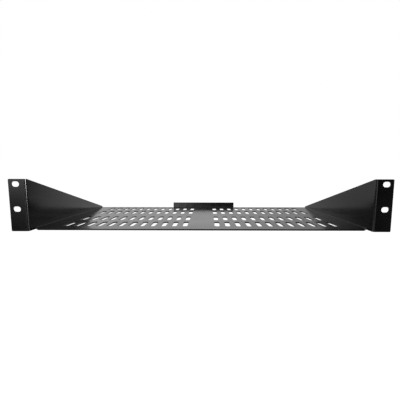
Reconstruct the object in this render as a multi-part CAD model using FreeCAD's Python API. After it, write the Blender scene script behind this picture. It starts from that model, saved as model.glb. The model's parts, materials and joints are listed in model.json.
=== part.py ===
import FreeCAD, Part
import os

# Cantilever rack shelf for a 19-inch rack: one steel sheet, cut flat and folded.
# Frame, in millimetres: X runs across the rack, Y runs back from the rack's front
# rails, and Z is up. The origin is the centre of the four rack slots, on the rear
# faces of the ears, which are the faces that sit on the rails.

# Rack interface
PANEL_WIDTH = 482.6
SLOT_SPACING_ACROSS = 465.1
SLOT_SPACING_UP = 31.75
SLOT_LENGTH = 10.0
SLOT_HEIGHT = 6.8

# Ears
EAR_HEIGHT = 66.7
EAR_ABOVE_TOP_SLOTS = 6.5
EAR_CORNER_RADIUS = 1.5

# Sheet
SHEET = 1.9
INSIDE_BEND = 0.8

# Tray
OVERALL_DEPTH = 254.0
BODY_WIDTH = 442.0
DECK_SETBACK = 7.5
WALL_HEIGHT_AT_BACK = 4.0

# Relief cuts at the two front corners of the deck
RELIEF_WIDTH = 6.5
RELIEF_DEPTH = 6.4
SLIT_WIDTH = 1.2
SLIT_PAST_BEND = 0.6

# Retaining lip at the back
LIP_WIDTH = 130.0
LIP_HEIGHT = 11.8

# Ventilation slots in the deck
VENT_LENGTH = 35.0
VENT_WIDTH = 7.2
VENT_PITCH = 15.0
VENT_COLUMNS_EACH_SIDE = 12
VENT_COLUMNS_LEFT_OUT = 2
VENT_PAIR_SPACING = 52.0
VENT_MIDDLE_SPACING = 70.0
VENT_MARGIN_BEHIND_DECK_FRONT = 20.5

# Levels and planes that follow from the sizes above
OUTSIDE_BEND = INSIDE_BEND + SHEET
TOP = SLOT_SPACING_UP / 2 + EAR_ABOVE_TOP_SLOTS
UNDERSIDE = TOP - EAR_HEIGHT
DECK_TOP = UNDERSIDE + SHEET
EAR_FRONT = -SHEET
WALL_OUTSIDE = BODY_WIDTH / 2
WALL_INSIDE = WALL_OUTSIDE - SHEET
DECK_FLAT_HALF = WALL_OUTSIDE - OUTSIDE_BEND
DECK_FRONT = EAR_FRONT + DECK_SETBACK
BEND_FRONT = DECK_FRONT + RELIEF_DEPTH
LIP_REAR = EAR_FRONT + OVERALL_DEPTH
DECK_BACK = LIP_REAR - OUTSIDE_BEND
BEND_TOP = UNDERSIDE + OUTSIDE_BEND
SLIT_TOP = BEND_TOP + SLIT_PAST_BEND
SIDES = (-1, 1)

X_AXIS = FreeCAD.Vector(1, 0, 0)
Y_AXIS = FreeCAD.Vector(0, 1, 0)
Z_AXIS = FreeCAD.Vector(0, 0, 1)


def plate(corners, thickness):
    """A flat plate: a closed outline of corner points, given a thickness vector."""
    outline = Part.makePolygon(corners + [corners[0]])
    return Part.Face(outline).extrude(thickness)


def bend(centre, first, second, run):
    """A quarter-turn fold between two directions from its centre, run along a vector."""
    halfway = (first + second).normalize()
    outer = Part.Arc(
        centre + first * OUTSIDE_BEND,
        centre + halfway * OUTSIDE_BEND,
        centre + second * OUTSIDE_BEND,
    )
    inner = Part.Arc(
        centre + second * INSIDE_BEND,
        centre + halfway * INSIDE_BEND,
        centre + first * INSIDE_BEND,
    )
    edges = [
        outer.toShape(),
        Part.makeLine(outer.EndPoint, inner.StartPoint),
        inner.toShape(),
        Part.makeLine(inner.EndPoint, outer.StartPoint),
    ]
    return Part.Face(Part.Wire(edges)).extrude(run)


def round_ended_slot(centre, long_way, wide_way, length, width, depth):
    """A cutter with round ends, centred on a face and run along the depth vector."""
    straight = long_way * ((length - width) / 2)
    tip = long_way * (length / 2)
    side = wide_way * (width / 2)
    far_end = Part.Arc(centre + straight + side, centre + tip, centre + straight - side)
    near_end = Part.Arc(centre - straight - side, centre - tip, centre - straight + side)
    edges = [
        far_end.toShape(),
        Part.makeLine(far_end.EndPoint, near_end.StartPoint),
        near_end.toShape(),
        Part.makeLine(near_end.EndPoint, far_end.StartPoint),
    ]
    return Part.Face(Part.Wire(edges)).extrude(depth)


def make_deck():
    """The flat deck, with its front corners cut back to where the side folds start."""
    corner = WALL_INSIDE - RELIEF_WIDTH
    corners = [
        FreeCAD.Vector(-corner, DECK_FRONT, UNDERSIDE),
        FreeCAD.Vector(corner, DECK_FRONT, UNDERSIDE),
        FreeCAD.Vector(DECK_FLAT_HALF, BEND_FRONT, UNDERSIDE),
        FreeCAD.Vector(DECK_FLAT_HALF, DECK_BACK, UNDERSIDE),
        FreeCAD.Vector(-DECK_FLAT_HALF, DECK_BACK, UNDERSIDE),
        FreeCAD.Vector(-DECK_FLAT_HALF, BEND_FRONT, UNDERSIDE),
    ]
    return plate(corners, Z_AXIS * SHEET)


def make_wall(side):
    """A side wall: full height at the ear, sloping down to the fold at the back."""
    outside = side * WALL_OUTSIDE
    corners = [
        FreeCAD.Vector(outside, INSIDE_BEND, UNDERSIDE),
        FreeCAD.Vector(outside, INSIDE_BEND, TOP),
        FreeCAD.Vector(outside, DECK_BACK, UNDERSIDE + WALL_HEIGHT_AT_BACK),
        FreeCAD.Vector(outside, DECK_BACK, BEND_TOP),
        FreeCAD.Vector(outside, BEND_FRONT, BEND_TOP),
        FreeCAD.Vector(outside, BEND_FRONT, SLIT_TOP),
        FreeCAD.Vector(outside, BEND_FRONT - SLIT_WIDTH, SLIT_TOP),
        FreeCAD.Vector(outside, BEND_FRONT - SLIT_WIDTH, UNDERSIDE),
    ]
    return plate(corners, X_AXIS * (-side * SHEET))


def make_side_fold(side):
    """The fold between the deck and a side wall."""
    centre = FreeCAD.Vector(side * DECK_FLAT_HALF, BEND_FRONT, BEND_TOP)
    return bend(centre, Z_AXIS * -1, X_AXIS * side, Y_AXIS * (DECK_BACK - BEND_FRONT))


def make_ear_fold(side):
    """The fold between a side wall and its ear."""
    centre = FreeCAD.Vector(side * (WALL_OUTSIDE + INSIDE_BEND), INSIDE_BEND, UNDERSIDE)
    return bend(centre, X_AXIS * -side, Y_AXIS * -1, Z_AXIS * EAR_HEIGHT)


def make_ear(side):
    """A rack ear with two slots and rounded outer corners."""
    inner = side * (WALL_OUTSIDE + INSIDE_BEND)
    outer = side * PANEL_WIDTH / 2
    corners = [
        FreeCAD.Vector(inner, EAR_FRONT, UNDERSIDE),
        FreeCAD.Vector(outer, EAR_FRONT, UNDERSIDE),
        FreeCAD.Vector(outer, EAR_FRONT, TOP),
        FreeCAD.Vector(inner, EAR_FRONT, TOP),
    ]
    ear = plate(corners, Y_AXIS * SHEET)
    outer_corners = []
    for edge in ear.Edges:
        middle = edge.CenterOfMass
        along_thickness = abs(edge.Length - SHEET) < Part.Precision.confusion()
        if along_thickness and abs(middle.x - outer) < Part.Precision.confusion():
            outer_corners.append(edge)
    ear = ear.makeFillet(EAR_CORNER_RADIUS, outer_corners)
    for level in (-SLOT_SPACING_UP / 2, SLOT_SPACING_UP / 2):
        centre = FreeCAD.Vector(side * SLOT_SPACING_ACROSS / 2, EAR_FRONT, level)
        cutter = round_ended_slot(
            centre, X_AXIS, Z_AXIS, SLOT_LENGTH, SLOT_HEIGHT, Y_AXIS * SHEET
        )
        ear = ear.cut(cutter)
    return ear


def make_lip():
    """The lip folded up from the middle of the deck's back edge."""
    left = -LIP_WIDTH / 2
    centre = FreeCAD.Vector(left, DECK_BACK, BEND_TOP)
    fold = bend(centre, Z_AXIS * -1, Y_AXIS, X_AXIS * LIP_WIDTH)
    corners = [
        FreeCAD.Vector(left, LIP_REAR, BEND_TOP),
        FreeCAD.Vector(left, LIP_REAR, UNDERSIDE + LIP_HEIGHT),
        FreeCAD.Vector(-left, LIP_REAR, UNDERSIDE + LIP_HEIGHT),
        FreeCAD.Vector(-left, LIP_REAR, BEND_TOP),
    ]
    upright = plate(corners, Y_AXIS * -SHEET)
    return [fold, upright]


def make_vents():
    """Cutters for the ventilation slots: four rows, with a plain strip in the middle."""
    first_row = DECK_FRONT + VENT_MARGIN_BEHIND_DECK_FRONT + VENT_LENGTH / 2
    second_row = first_row + VENT_PAIR_SPACING
    third_row = second_row + VENT_MIDDLE_SPACING
    fourth_row = third_row + VENT_PAIR_SPACING
    innermost = VENT_PITCH * (VENT_COLUMNS_LEFT_OUT + 1) / 2
    cutters = []
    for side in SIDES:
        for column in range(VENT_COLUMNS_EACH_SIDE):
            across = side * (innermost + column * VENT_PITCH)
            for row in (first_row, second_row, third_row, fourth_row):
                centre = FreeCAD.Vector(across, row, UNDERSIDE)
                cutter = round_ended_slot(
                    centre, Y_AXIS, X_AXIS, VENT_LENGTH, VENT_WIDTH, Z_AXIS * SHEET
                )
                cutters.append(cutter)
    return cutters


def make_folded_shelf():
    """The whole shelf as one folded sheet."""
    deck = make_deck().cut(make_vents())
    pieces = make_lip()
    for side in SIDES:
        pieces.append(make_side_fold(side))
        pieces.append(make_wall(side))
        pieces.append(make_ear_fold(side))
        pieces.append(make_ear(side))
    return deck.fuse(pieces).removeSplitter()


os.makedirs("parts", exist_ok=True)
folded_shelf = make_folded_shelf()
folded_shelf.exportStep("parts/folded_shelf.step")
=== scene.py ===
# %% [markdown]
# # A cantilever rack shelf in black powder coat
# The shelf is one sheet of steel: laser cut flat, folded on a press brake and powder
# coated in black. Its deck is held only by the two slotted ears at the front, which
# screw to the rails of a 19-inch rack. The exact solid comes from the construction
# model, in metres, with X across the rack, Y back into it and Z up. This script gives
# it the edges and the coating of the real sheet, and then lights and frames it.

# %% Load the exact solid
import json
import math

import bpy
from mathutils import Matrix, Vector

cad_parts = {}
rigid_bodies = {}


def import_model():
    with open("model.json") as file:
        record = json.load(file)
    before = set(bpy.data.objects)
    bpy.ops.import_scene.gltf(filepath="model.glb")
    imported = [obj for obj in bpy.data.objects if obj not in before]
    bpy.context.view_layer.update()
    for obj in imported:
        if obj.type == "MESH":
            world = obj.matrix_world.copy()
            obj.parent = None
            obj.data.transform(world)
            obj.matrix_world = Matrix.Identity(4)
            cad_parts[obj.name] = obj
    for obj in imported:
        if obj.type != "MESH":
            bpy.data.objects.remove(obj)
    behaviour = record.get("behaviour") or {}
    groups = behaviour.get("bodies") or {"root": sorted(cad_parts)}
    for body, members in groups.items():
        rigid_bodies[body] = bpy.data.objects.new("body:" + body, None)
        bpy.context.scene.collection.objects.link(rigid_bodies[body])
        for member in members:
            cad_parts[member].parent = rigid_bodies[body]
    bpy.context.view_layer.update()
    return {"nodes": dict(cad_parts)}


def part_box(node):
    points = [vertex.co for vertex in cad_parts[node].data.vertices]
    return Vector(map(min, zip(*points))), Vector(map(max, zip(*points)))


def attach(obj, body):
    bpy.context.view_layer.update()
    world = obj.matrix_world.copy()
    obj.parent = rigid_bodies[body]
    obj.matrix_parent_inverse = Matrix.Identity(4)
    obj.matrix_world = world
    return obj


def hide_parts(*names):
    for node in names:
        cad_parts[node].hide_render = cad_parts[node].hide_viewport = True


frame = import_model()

solid = frame["nodes"]["folded_shelf"]
low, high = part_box("folded_shelf")
print("solid", len(solid.data.polygons), "triangles")
print("box from", [round(v, 4) for v in low], "to", [round(v, 4) for v in high])

# %% [markdown]
# ## The sheet
# The solid has the right shape, but its edges are knife sharp, and no light ever
# catches on them. A laser-cut blank is tumbled before it is folded, and the coating
# flows round what is left, so every edge of the real sheet is a small round. That round
# could be faked in the shader, but then only the picture has it. A merged copy of the
# solid with a narrow bevel has it in the mesh, where it also shows from other sides.
# The solid's triangles are merged into flat faces first, so that the bevel runs at one
# width along each edge.

# %% Copy the solid and merge its triangles
MERGE_DISTANCE = 0.000002
FLAT_ANGLE = math.radians(0.5)


def deselect_everything():
    """Leave edit mode and start from an empty selection."""
    if bpy.context.object and bpy.context.object.mode != "OBJECT":
        bpy.ops.object.mode_set(mode="OBJECT")
    bpy.ops.object.select_all(action="DESELECT")


def make_active(thing):
    """Select one object alone and make it the active one."""
    deselect_everything()
    thing.select_set(True)
    bpy.context.view_layer.objects.active = thing


shelf = bpy.data.objects.new("coated_shelf", solid.data.copy())
bpy.context.scene.collection.objects.link(shelf)
make_active(shelf)
bpy.ops.object.mode_set(mode="EDIT")
bpy.ops.mesh.select_all(action="SELECT")
bpy.ops.mesh.remove_doubles(threshold=MERGE_DISTANCE)
bpy.ops.mesh.dissolve_limited(angle_limit=FLAT_ANGLE)
bpy.ops.object.mode_set(mode="OBJECT")
print("merged sheet", len(shelf.data.polygons), "faces")

# %% Round the cut edges
EDGE_ROUND = 0.0002
EDGE_SEGMENTS = 2
SHARP_ANGLE = math.radians(40)

rounding = shelf.modifiers.new("edge_round", "BEVEL")
rounding.width = EDGE_ROUND
rounding.segments = EDGE_SEGMENTS
rounding.limit_method = "ANGLE"
rounding.angle_limit = SHARP_ANGLE
rounding.harden_normals = True
make_active(shelf)
bpy.ops.object.shade_smooth_by_angle(angle=SHARP_ANGLE)
bpy.ops.object.modifier_apply(modifier=rounding.name)
for vertex in shelf.data.vertices:
    vertex.co.z = max(vertex.co.z, low.z)  # the bevel dips under the sheet at one corner
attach(shelf, "root")
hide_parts("folded_shelf")
print("rounded sheet", len(shelf.data.polygons), "faces")

# %% [markdown]
# ## The powder coating
# Black powder is sprayed dry on the steel and baked until it flows. It levels well but
# never perfectly: the skin keeps a fine pebble, called orange peel, and its gloss
# changes a little from place to place. A plain black would look like a hole, so a group
# of noises puts out three things that change over the surface: a near-black colour, the
# roughness, and the height of the pebble for a bump.

# %% Build the coating group
PEBBLE_SIZE = 0.0011
PEBBLE_DETAIL = 1
CLOUD_SIZE = 0.045
CLOUD_DETAIL = 3
NOISE_LOW = 0.3
NOISE_HIGH = 0.7


def new_group(name, inputs, outputs):
    """A shader node group with named inputs and outputs."""
    group = bpy.data.node_groups.new(name, "ShaderNodeTree")
    for label, kind, value in inputs:
        socket = group.interface.new_socket(label, in_out="INPUT", socket_type=kind)
        socket.default_value = value
    for label, kind in outputs:
        group.interface.new_socket(label, in_out="OUTPUT", socket_type=kind)
    return group


def noise(tree, coordinates, size, detail):
    """A noise whose blobs are about one size, in metres."""
    node = tree.nodes.new("ShaderNodeTexNoise")
    node.inputs["Scale"].default_value = 1 / size
    node.inputs["Detail"].default_value = detail
    tree.links.new(coordinates, node.inputs["Vector"])
    return node.outputs["Fac"]


def spread(tree, value, low_end, high_end):
    """Stretch the middle of a noise to run between two ends."""
    node = tree.nodes.new("ShaderNodeMapRange")
    node.inputs["From Min"].default_value = NOISE_LOW
    node.inputs["From Max"].default_value = NOISE_HIGH
    for label, end in (("To Min", low_end), ("To Max", high_end)):
        if isinstance(end, float):
            node.inputs[label].default_value = end
        else:
            tree.links.new(end, node.inputs[label])
    tree.links.new(value, node.inputs["Value"])
    return node.outputs["Result"]


coating_group = new_group(
    "powder_coat",
    [
        ("Dark Colour", "NodeSocketColor", (0.0014, 0.0014, 0.0016, 1)),
        ("Pale Colour", "NodeSocketColor", (0.0022, 0.0022, 0.0025, 1)),
        ("Low Roughness", "NodeSocketFloat", 0.14),
        ("High Roughness", "NodeSocketFloat", 0.18),
    ],
    [
        ("Colour", "NodeSocketColor"),
        ("Roughness", "NodeSocketFloat"),
        ("Pebble", "NodeSocketFloat"),
    ],
)
inside = coating_group.nodes.new("NodeGroupInput").outputs
outside = coating_group.nodes.new("NodeGroupOutput").inputs
place = coating_group.nodes.new("ShaderNodeTexCoord").outputs["Object"]
clouds = noise(coating_group, place, CLOUD_SIZE, CLOUD_DETAIL)
pebble = noise(coating_group, place, PEBBLE_SIZE, PEBBLE_DETAIL)
shade = coating_group.nodes.new("ShaderNodeMix")
shade.data_type = "RGBA"
coating_group.links.new(clouds, shade.inputs["Factor"])
coating_group.links.new(inside["Dark Colour"], shade.inputs["A"])
coating_group.links.new(inside["Pale Colour"], shade.inputs["B"])
coating_group.links.new(shade.outputs["Result"], outside["Colour"])
roughness = spread(coating_group, clouds, inside["Low Roughness"], inside["High Roughness"])
coating_group.links.new(roughness, outside["Roughness"])
coating_group.links.new(pebble, outside["Pebble"])
print("coating group", len(coating_group.nodes), "nodes")

# %% Coat the sheet
PEBBLE_HEIGHT = 0.000002
COATING_IOR = 1.5

coated_steel = bpy.data.materials.new("coated_steel")
coated_steel.use_nodes = True
tree = coated_steel.node_tree
surface = tree.nodes["Principled BSDF"]
coating = tree.nodes.new("ShaderNodeGroup")
coating.node_tree = coating_group
bump = tree.nodes.new("ShaderNodeBump")
bump.inputs["Distance"].default_value = PEBBLE_HEIGHT
tree.links.new(coating.outputs["Colour"], surface.inputs["Base Color"])
tree.links.new(coating.outputs["Roughness"], surface.inputs["Roughness"])
tree.links.new(coating.outputs["Pebble"], bump.inputs["Height"])
tree.links.new(bump.outputs["Normal"], surface.inputs["Normal"])
surface.inputs["IOR"].default_value = COATING_IOR
shelf.data.materials.clear()
shelf.data.materials.append(coated_steel)
print("coated", shelf.name)

# %% [markdown]
# ## The floor
# The shelf hangs in the air, as it does on a rack's rails, over a wide pale floor. The
# floor lies well below it, so that the slots in the deck look through to bright ground.

# %% Lay the floor
FLOOR_DROP = 0.6
FLOOR_SIZE = 40
FLOOR_COLOUR = (0.8, 0.8, 0.8, 1)
FLOOR_GLOW = (0.6, 0.6, 0.6, 1)

deselect_everything()
floor_level = low.z - FLOOR_DROP
bpy.ops.mesh.primitive_plane_add(size=FLOOR_SIZE, location=(0, 0, floor_level))
floor = bpy.context.object
floor.name = "floor"


def seen_directly(tree):
    """1 for rays that show the background as it is: from the camera, a gloss or a glass."""
    path = tree.nodes.new("ShaderNodeLightPath")
    total = path.outputs["Is Camera Ray"]
    for label in ("Is Glossy Ray", "Is Transmission Ray"):
        either = tree.nodes.new("ShaderNodeMath")
        either.operation = "MAXIMUM"
        tree.links.new(total, either.inputs[0])
        tree.links.new(path.outputs[label], either.inputs[1])
        total = either.outputs["Value"]
    return total


pale_floor = bpy.data.materials.new("pale_floor")
pale_floor.use_nodes = True
tree = pale_floor.node_tree
tree.nodes.remove(tree.nodes["Principled BSDF"])
matt = tree.nodes.new("ShaderNodeBsdfDiffuse")
matt.inputs["Color"].default_value = FLOOR_COLOUR
glow = tree.nodes.new("ShaderNodeEmission")
glow.inputs["Color"].default_value = FLOOR_GLOW
tree.links.new(seen_directly(tree), glow.inputs["Strength"])
both = tree.nodes.new("ShaderNodeAddShader")
tree.links.new(matt.outputs["BSDF"], both.inputs[0])
tree.links.new(glow.outputs["Emission"], both.inputs[1])
tree.links.new(both.outputs["Shader"], tree.nodes["Material Output"].inputs["Surface"])
floor.data.materials.append(pale_floor)
print("floor at", round(floor_level, 3))

# %% [markdown]
# ## The room
# A product studio is white all round, so that an object in it stands on nothing. One
# strength for everything would tie the light on the object to that white. So the world
# has two. The rays that show the room itself see plain white, and the rays that light
# the object see about half of it. With the softbox added, a plain grey would render at
# nearly its own level where it faces the softbox, at rather more than half of it on the
# deck, and at about a third of it on the right wall and the lip.

# %% Light the room
ROOM_LEVEL = 0.55
WHITE = (1, 1, 1, 1)

world = bpy.data.worlds.new("studio")
bpy.context.scene.world = world
world.use_nodes = True
tree = world.node_tree
plain = tree.nodes["Background"]
plain.inputs["Color"].default_value = WHITE
plain.inputs["Strength"].default_value = ROOM_LEVEL
bright = tree.nodes.new("ShaderNodeBackground")
bright.inputs["Color"].default_value = WHITE
bright.inputs["Strength"].default_value = 1
choice = tree.nodes.new("ShaderNodeMixShader")
tree.links.new(seen_directly(tree), choice.inputs["Fac"])
tree.links.new(plain.outputs["Background"], choice.inputs[1])
tree.links.new(bright.outputs["Background"], choice.inputs[2])
tree.links.new(choice.outputs["Shader"], tree.nodes["World Output"].inputs["Surface"])
print("room light at", ROOM_LEVEL)

# %% [markdown]
# ## The softbox
# One softbox stands to the right, in front of the shelf. It could be a lamp overhead,
# but a gloss black surface has next to no colour of its own to be lit, so a lamp shows
# on it only where the surface mirrors it. Seen from the camera, a lamp at this place is
# one thin bright line down the rounded fold beside the left ear, and stays off the flat
# faces.

# %% Hang the softbox
SOFTBOX_WIDTH = 0.8
SOFTBOX_HEIGHT = 0.35
SOFTBOX_PLACE = (2.03, -0.82, 0.1)
SOFTBOX_TURN = math.radians(70)
SOFTBOX_POWER = 34

lamp_data = bpy.data.lights.new("softbox", "AREA")
lamp_data.shape = "RECTANGLE"
lamp_data.size = SOFTBOX_WIDTH
lamp_data.size_y = SOFTBOX_HEIGHT
lamp_data.energy = SOFTBOX_POWER
softbox = bpy.data.objects.new("softbox", lamp_data)
bpy.context.scene.collection.objects.link(softbox)
softbox.location = SOFTBOX_PLACE
softbox.rotation_euler = (math.pi / 2, 0, SOFTBOX_TURN)
softbox.visible_camera = False
print("softbox of", SOFTBOX_POWER, "W at", SOFTBOX_PLACE)

# %% [markdown]
# ## The cards
# What is seen on gloss black is the room around it: the deck mirrors the backdrop far
# behind the shelf, each side wall mirrors the table top beyond the deck, and the ears
# and the lip mirror what stands in front. A studio sets that with grey and white cards.
# The same greys could be painted on the coating, but then they would stay in
# place when the shelf or the eye moves. Cards are seen by gloss alone here: they
# light nothing, cast no shadow and aren't in the picture. A room fades softly from
# place to place, so each card blends four greys, one from each corner. Seven levels,
# from black to glare, are enough for all of them.

# %% Build the blend of four corners
CORNERS = ("Low Left", "Low Right", "High Left", "High Right")
corner_group = new_group(
    "corner_blend",
    [(corner, "NodeSocketFloat", 1.0) for corner in CORNERS],
    [("Grey", "NodeSocketFloat")],
)
inside = corner_group.nodes.new("NodeGroupInput").outputs
outside = corner_group.nodes.new("NodeGroupOutput").inputs
axes = corner_group.nodes.new("ShaderNodeSeparateXYZ").outputs
place = corner_group.nodes.new("ShaderNodeTexCoord").outputs["UV"]
corner_group.links.new(place, corner_group.nodes["Separate XYZ"].inputs["Vector"])


def blend(tree, factor, first, second):
    """Run from the first number to the second as the factor goes from 0 to 1."""
    node = tree.nodes.new("ShaderNodeMix")
    tree.links.new(factor, node.inputs["Factor"])
    tree.links.new(first, node.inputs["A"])
    tree.links.new(second, node.inputs["B"])
    return node.outputs["Result"]


low_edge = blend(corner_group, axes["X"], inside["Low Left"], inside["Low Right"])
high_edge = blend(corner_group, axes["X"], inside["High Left"], inside["High Right"])
grey = blend(corner_group, axes["Y"], low_edge, high_edge)
corner_group.links.new(grey, outside["Grey"])
print("corner blend", len(corner_group.nodes), "nodes")

# %% Make a card
BLACK = 0.03
SHADE = 0.1
DIM = 0.3
MIDDLE = 0.5
PALE = 0.9
BRIGHT = 2
GLARE = 8


def stand_card(name, start, end, bottom, top, greys):
    """A glowing upright card between two places in plan. Only gloss sees it."""
    finish = bpy.data.materials.new(name)
    finish.use_nodes = True
    finish.cycles.emission_sampling = "NONE"  # gloss finds a card by itself, with less grain
    tree = finish.node_tree
    tree.nodes.remove(tree.nodes["Principled BSDF"])
    corners = tree.nodes.new("ShaderNodeGroup")
    corners.node_tree = corner_group
    for corner, value in zip(CORNERS, greys):
        corners.inputs[corner].default_value = value
    glow = tree.nodes.new("ShaderNodeEmission")
    tree.links.new(corners.outputs["Grey"], glow.inputs["Color"])
    tree.links.new(glow.outputs["Emission"], tree.nodes["Material Output"].inputs["Surface"])
    deselect_everything()
    run = (end[0] - start[0], end[1] - start[1])
    bpy.ops.mesh.primitive_plane_add(
        size=1,
        location=((start[0] + end[0]) / 2, (start[1] + end[1]) / 2, (bottom + top) / 2),
        rotation=(math.pi / 2, 0, math.atan2(run[1], run[0])),
    )
    card = bpy.context.object
    card.name = name
    card.scale = (math.hypot(*run), top - bottom, 1)
    card.data.materials.append(finish)
    card.visible_camera = False
    card.visible_diffuse = False
    card.visible_shadow = False


def cards_named(*starts):
    """The cards whose names begin with one of some words."""
    return [thing.name for thing in bpy.data.objects if thing.name.startswith(starts)]


def flat(grey):
    """The same grey at all four corners."""
    return (grey, grey, grey, grey)


print("a flat card has corners", flat(MIDDLE))

# %% [markdown]
# ### The backdrop
# The backdrop hangs far behind the shelf. It is mostly dark at the shelf's own level,
# brightest a metre above that, and fades towards the ceiling. Darker wings stand at
# both its sides, and its ends show as soft edges in the outer parts of the deck. One
# even backdrop would be simpler, but the deck would mirror it as nearly one grey.

# %% Hang the backdrop
BACKDROP = 6
DROP_SIDE = 2.7
DROP_BRIGHTEST = 1.05
DROP_FADED = 2.2
CEILING = 4.5
WING_END = 12

drop_left = (-DROP_SIDE, BACKDROP)
drop_middle = (0, BACKDROP)
drop_right = (DROP_SIDE, BACKDROP)
lower = (0, DROP_BRIGHTEST)
upper = (DROP_BRIGHTEST, DROP_FADED)
stand_card("drop_low_left", drop_left, drop_middle, *lower, (BLACK, BLACK, PALE, PALE))
stand_card("drop_low_right", drop_middle, drop_right, *lower, (BLACK, MIDDLE, PALE, DIM))
stand_card("drop_high_left", drop_left, drop_middle, *upper, (PALE, PALE, MIDDLE, MIDDLE))
stand_card("drop_high_right", drop_middle, drop_right, *upper, (PALE, MIDDLE, MIDDLE, DIM))
stand_card("drop_top", drop_left, drop_right, DROP_FADED, CEILING, flat(DIM))
stand_card(
    "wing_left", (-WING_END, BACKDROP), drop_left, 0, CEILING, (SHADE, SHADE, MIDDLE, MIDDLE)
)
stand_card("wing_right", drop_right, (WING_END, BACKDROP), 0, CEILING, flat(DIM))
print("backdrop of", len(cards_named("drop", "wing")), "cards")

# %% [markdown]
# ### The table
# Below the shelf's own level the walls mirror a table that stands beyond it. Upright
# cards take its place: from the camera they look the same in the walls as a table top
# would, and they are made like all the others. The upper row is the table's bright far
# end and the lower row its shaded near end, so each wall is pale above and dark below.

# %% Stand the table
TABLE = 2
TABLE_SHADE = -0.2

table_far_left = (-4, TABLE)
table_left = (-1, TABLE)
table_middle = (0.3, TABLE)
table_right = (0.8, TABLE)
table_edge = (1.25, TABLE)
table_far_right = (4, TABLE)
pale_part = (TABLE_SHADE, 0)
dark_part = (floor_level, TABLE_SHADE)
stand_card("table_left", table_far_left, table_left, *pale_part, flat(MIDDLE))
stand_card("table_middle", table_left, table_right, *pale_part, (DIM, MIDDLE, MIDDLE, PALE))
stand_card("table_right", table_right, table_edge, *pale_part, (MIDDLE, DIM, PALE, DIM))
stand_card("table_front_left", table_far_left, table_middle, *dark_part, (DIM, DIM, DIM, MIDDLE))
stand_card("table_front_right", table_middle, table_edge, *dark_part, (DIM, SHADE, PALE, MIDDLE))
stand_card("table_end", table_edge, table_far_right, floor_level, 0, flat(BLACK))
print("table of", len(cards_named("table")), "cards")

# %% [markdown]
# ### The front
# In front of the shelf the room is dark on the right and has a bright patch on the left
# at the level of the shelf. The left ear mirrors that patch and the right ear mirrors
# the dark, so one ear is grey and the other is nearly black. A narrow glaring card
# shows in the left half of the lip, and a low bright one in the left part of the deck's
# front edge. From behind, the deck mirrors these cards too.

# %% Stand the front cards
FRONT = -1.4
SIDE = 5
KNEE = -0.35
WAIST = -0.1
LEVEL = 0.05
HEAD = 0.3
ABOVE = 3

side_left = (-SIDE, FRONT)
patch_left = (-1.6, FRONT)
patch_right = (-0.85, FRONT)
lip_left = (-0.4, FRONT)
lip_middle = (-0.1, FRONT)
lip_right = (0.25, FRONT)
side_right = (SIDE, FRONT)
low_left = (-0.95, FRONT)
low_right = (-0.3, FRONT)
stand_card("front_far_left", side_left, patch_left, floor_level, LEVEL, flat(SHADE))
stand_card(
    "front_left_low", patch_left, patch_right, KNEE, WAIST, (BLACK, SHADE, DIM, MIDDLE)
)
stand_card("front_left", patch_left, patch_right, WAIST, LEVEL, (DIM, PALE, BRIGHT, BRIGHT))
stand_card("front_gap", patch_right, lip_left, KNEE, LEVEL, flat(BLACK))
stand_card("front_lip_left", lip_left, lip_middle, KNEE, HEAD, (PALE, DIM, GLARE, BRIGHT))
stand_card("front_lip_right", lip_middle, lip_right, KNEE, HEAD, (DIM, SHADE, PALE, DIM))
stand_card("front_low_left", patch_left, low_left, floor_level, KNEE, flat(BLACK))
stand_card("front_low", low_left, low_right, floor_level, KNEE, (BRIGHT, SHADE, BRIGHT, SHADE))
stand_card("front_low_right", low_right, lip_right, floor_level, KNEE, flat(BLACK))
stand_card("front_high_left", side_left, lip_left, LEVEL, ABOVE, flat(MIDDLE))
stand_card("front_right", lip_right, side_right, floor_level, ABOVE, flat(BLACK))
print("front of", len(cards_named("front")), "cards")

# %% [markdown]
# ### The sides
# The folds beside the ears turn through a quarter circle, so they mirror the whole
# side of the room in one narrow line. A bright card far to the left gives the right
# fold its line, and dark cards keep both lines narrow.

# %% Stand the side cards
SIDE_BREAK = 1
SIDE_TOP = 0.4

left_break = (-SIDE, SIDE_BREAK)
right_break = (SIDE, SIDE_BREAK)
stand_card("side_left_near", side_left, left_break, floor_level, SIDE_TOP, flat(BLACK))
stand_card(
    "side_left_far", left_break, (-SIDE, BACKDROP), floor_level, SIDE_TOP, flat(BRIGHT)
)
stand_card("side_right", right_break, (SIDE, BACKDROP), floor_level, SIDE_TOP, flat(BLACK))
print("sides of", len(cards_named("side")), "cards")

# %% [markdown]
# ## The camera
# The camera stands close, 35 cm in front of the ears and just above their top edges,
# with a wide lens. A longer lens from further away would keep the ears and the back
# nearer to one size; this one opens the walls outwards and makes the back much smaller
# than the front. A small shift and roll centre the shelf and level it.

# %% Set up the camera
CAMERA_PLACE = (0.0095, -0.3522, 0.0286)
CAMERA_DOWN = 0.1171
CAMERA_LEFT = 0.0061
CAMERA_ROLL = -0.0012
LENS = 25.18
SHIFT_ACROSS = -0.0156
SHIFT_UP = 0.0175
NEAREST = 0.01

camera_data = bpy.data.cameras.new("camera")
camera_data.lens = LENS
camera_data.shift_x = SHIFT_ACROSS
camera_data.shift_y = SHIFT_UP
camera_data.clip_start = NEAREST
camera = bpy.data.objects.new("camera", camera_data)
bpy.context.scene.collection.objects.link(camera)
camera.location = CAMERA_PLACE
camera.rotation_euler = (math.pi / 2 - CAMERA_DOWN, CAMERA_ROLL, CAMERA_LEFT)
bpy.context.scene.camera = camera
bpy.context.scene.view_settings.view_transform = "Standard"
print("camera at", CAMERA_PLACE, "with a", LENS, "mm lens")
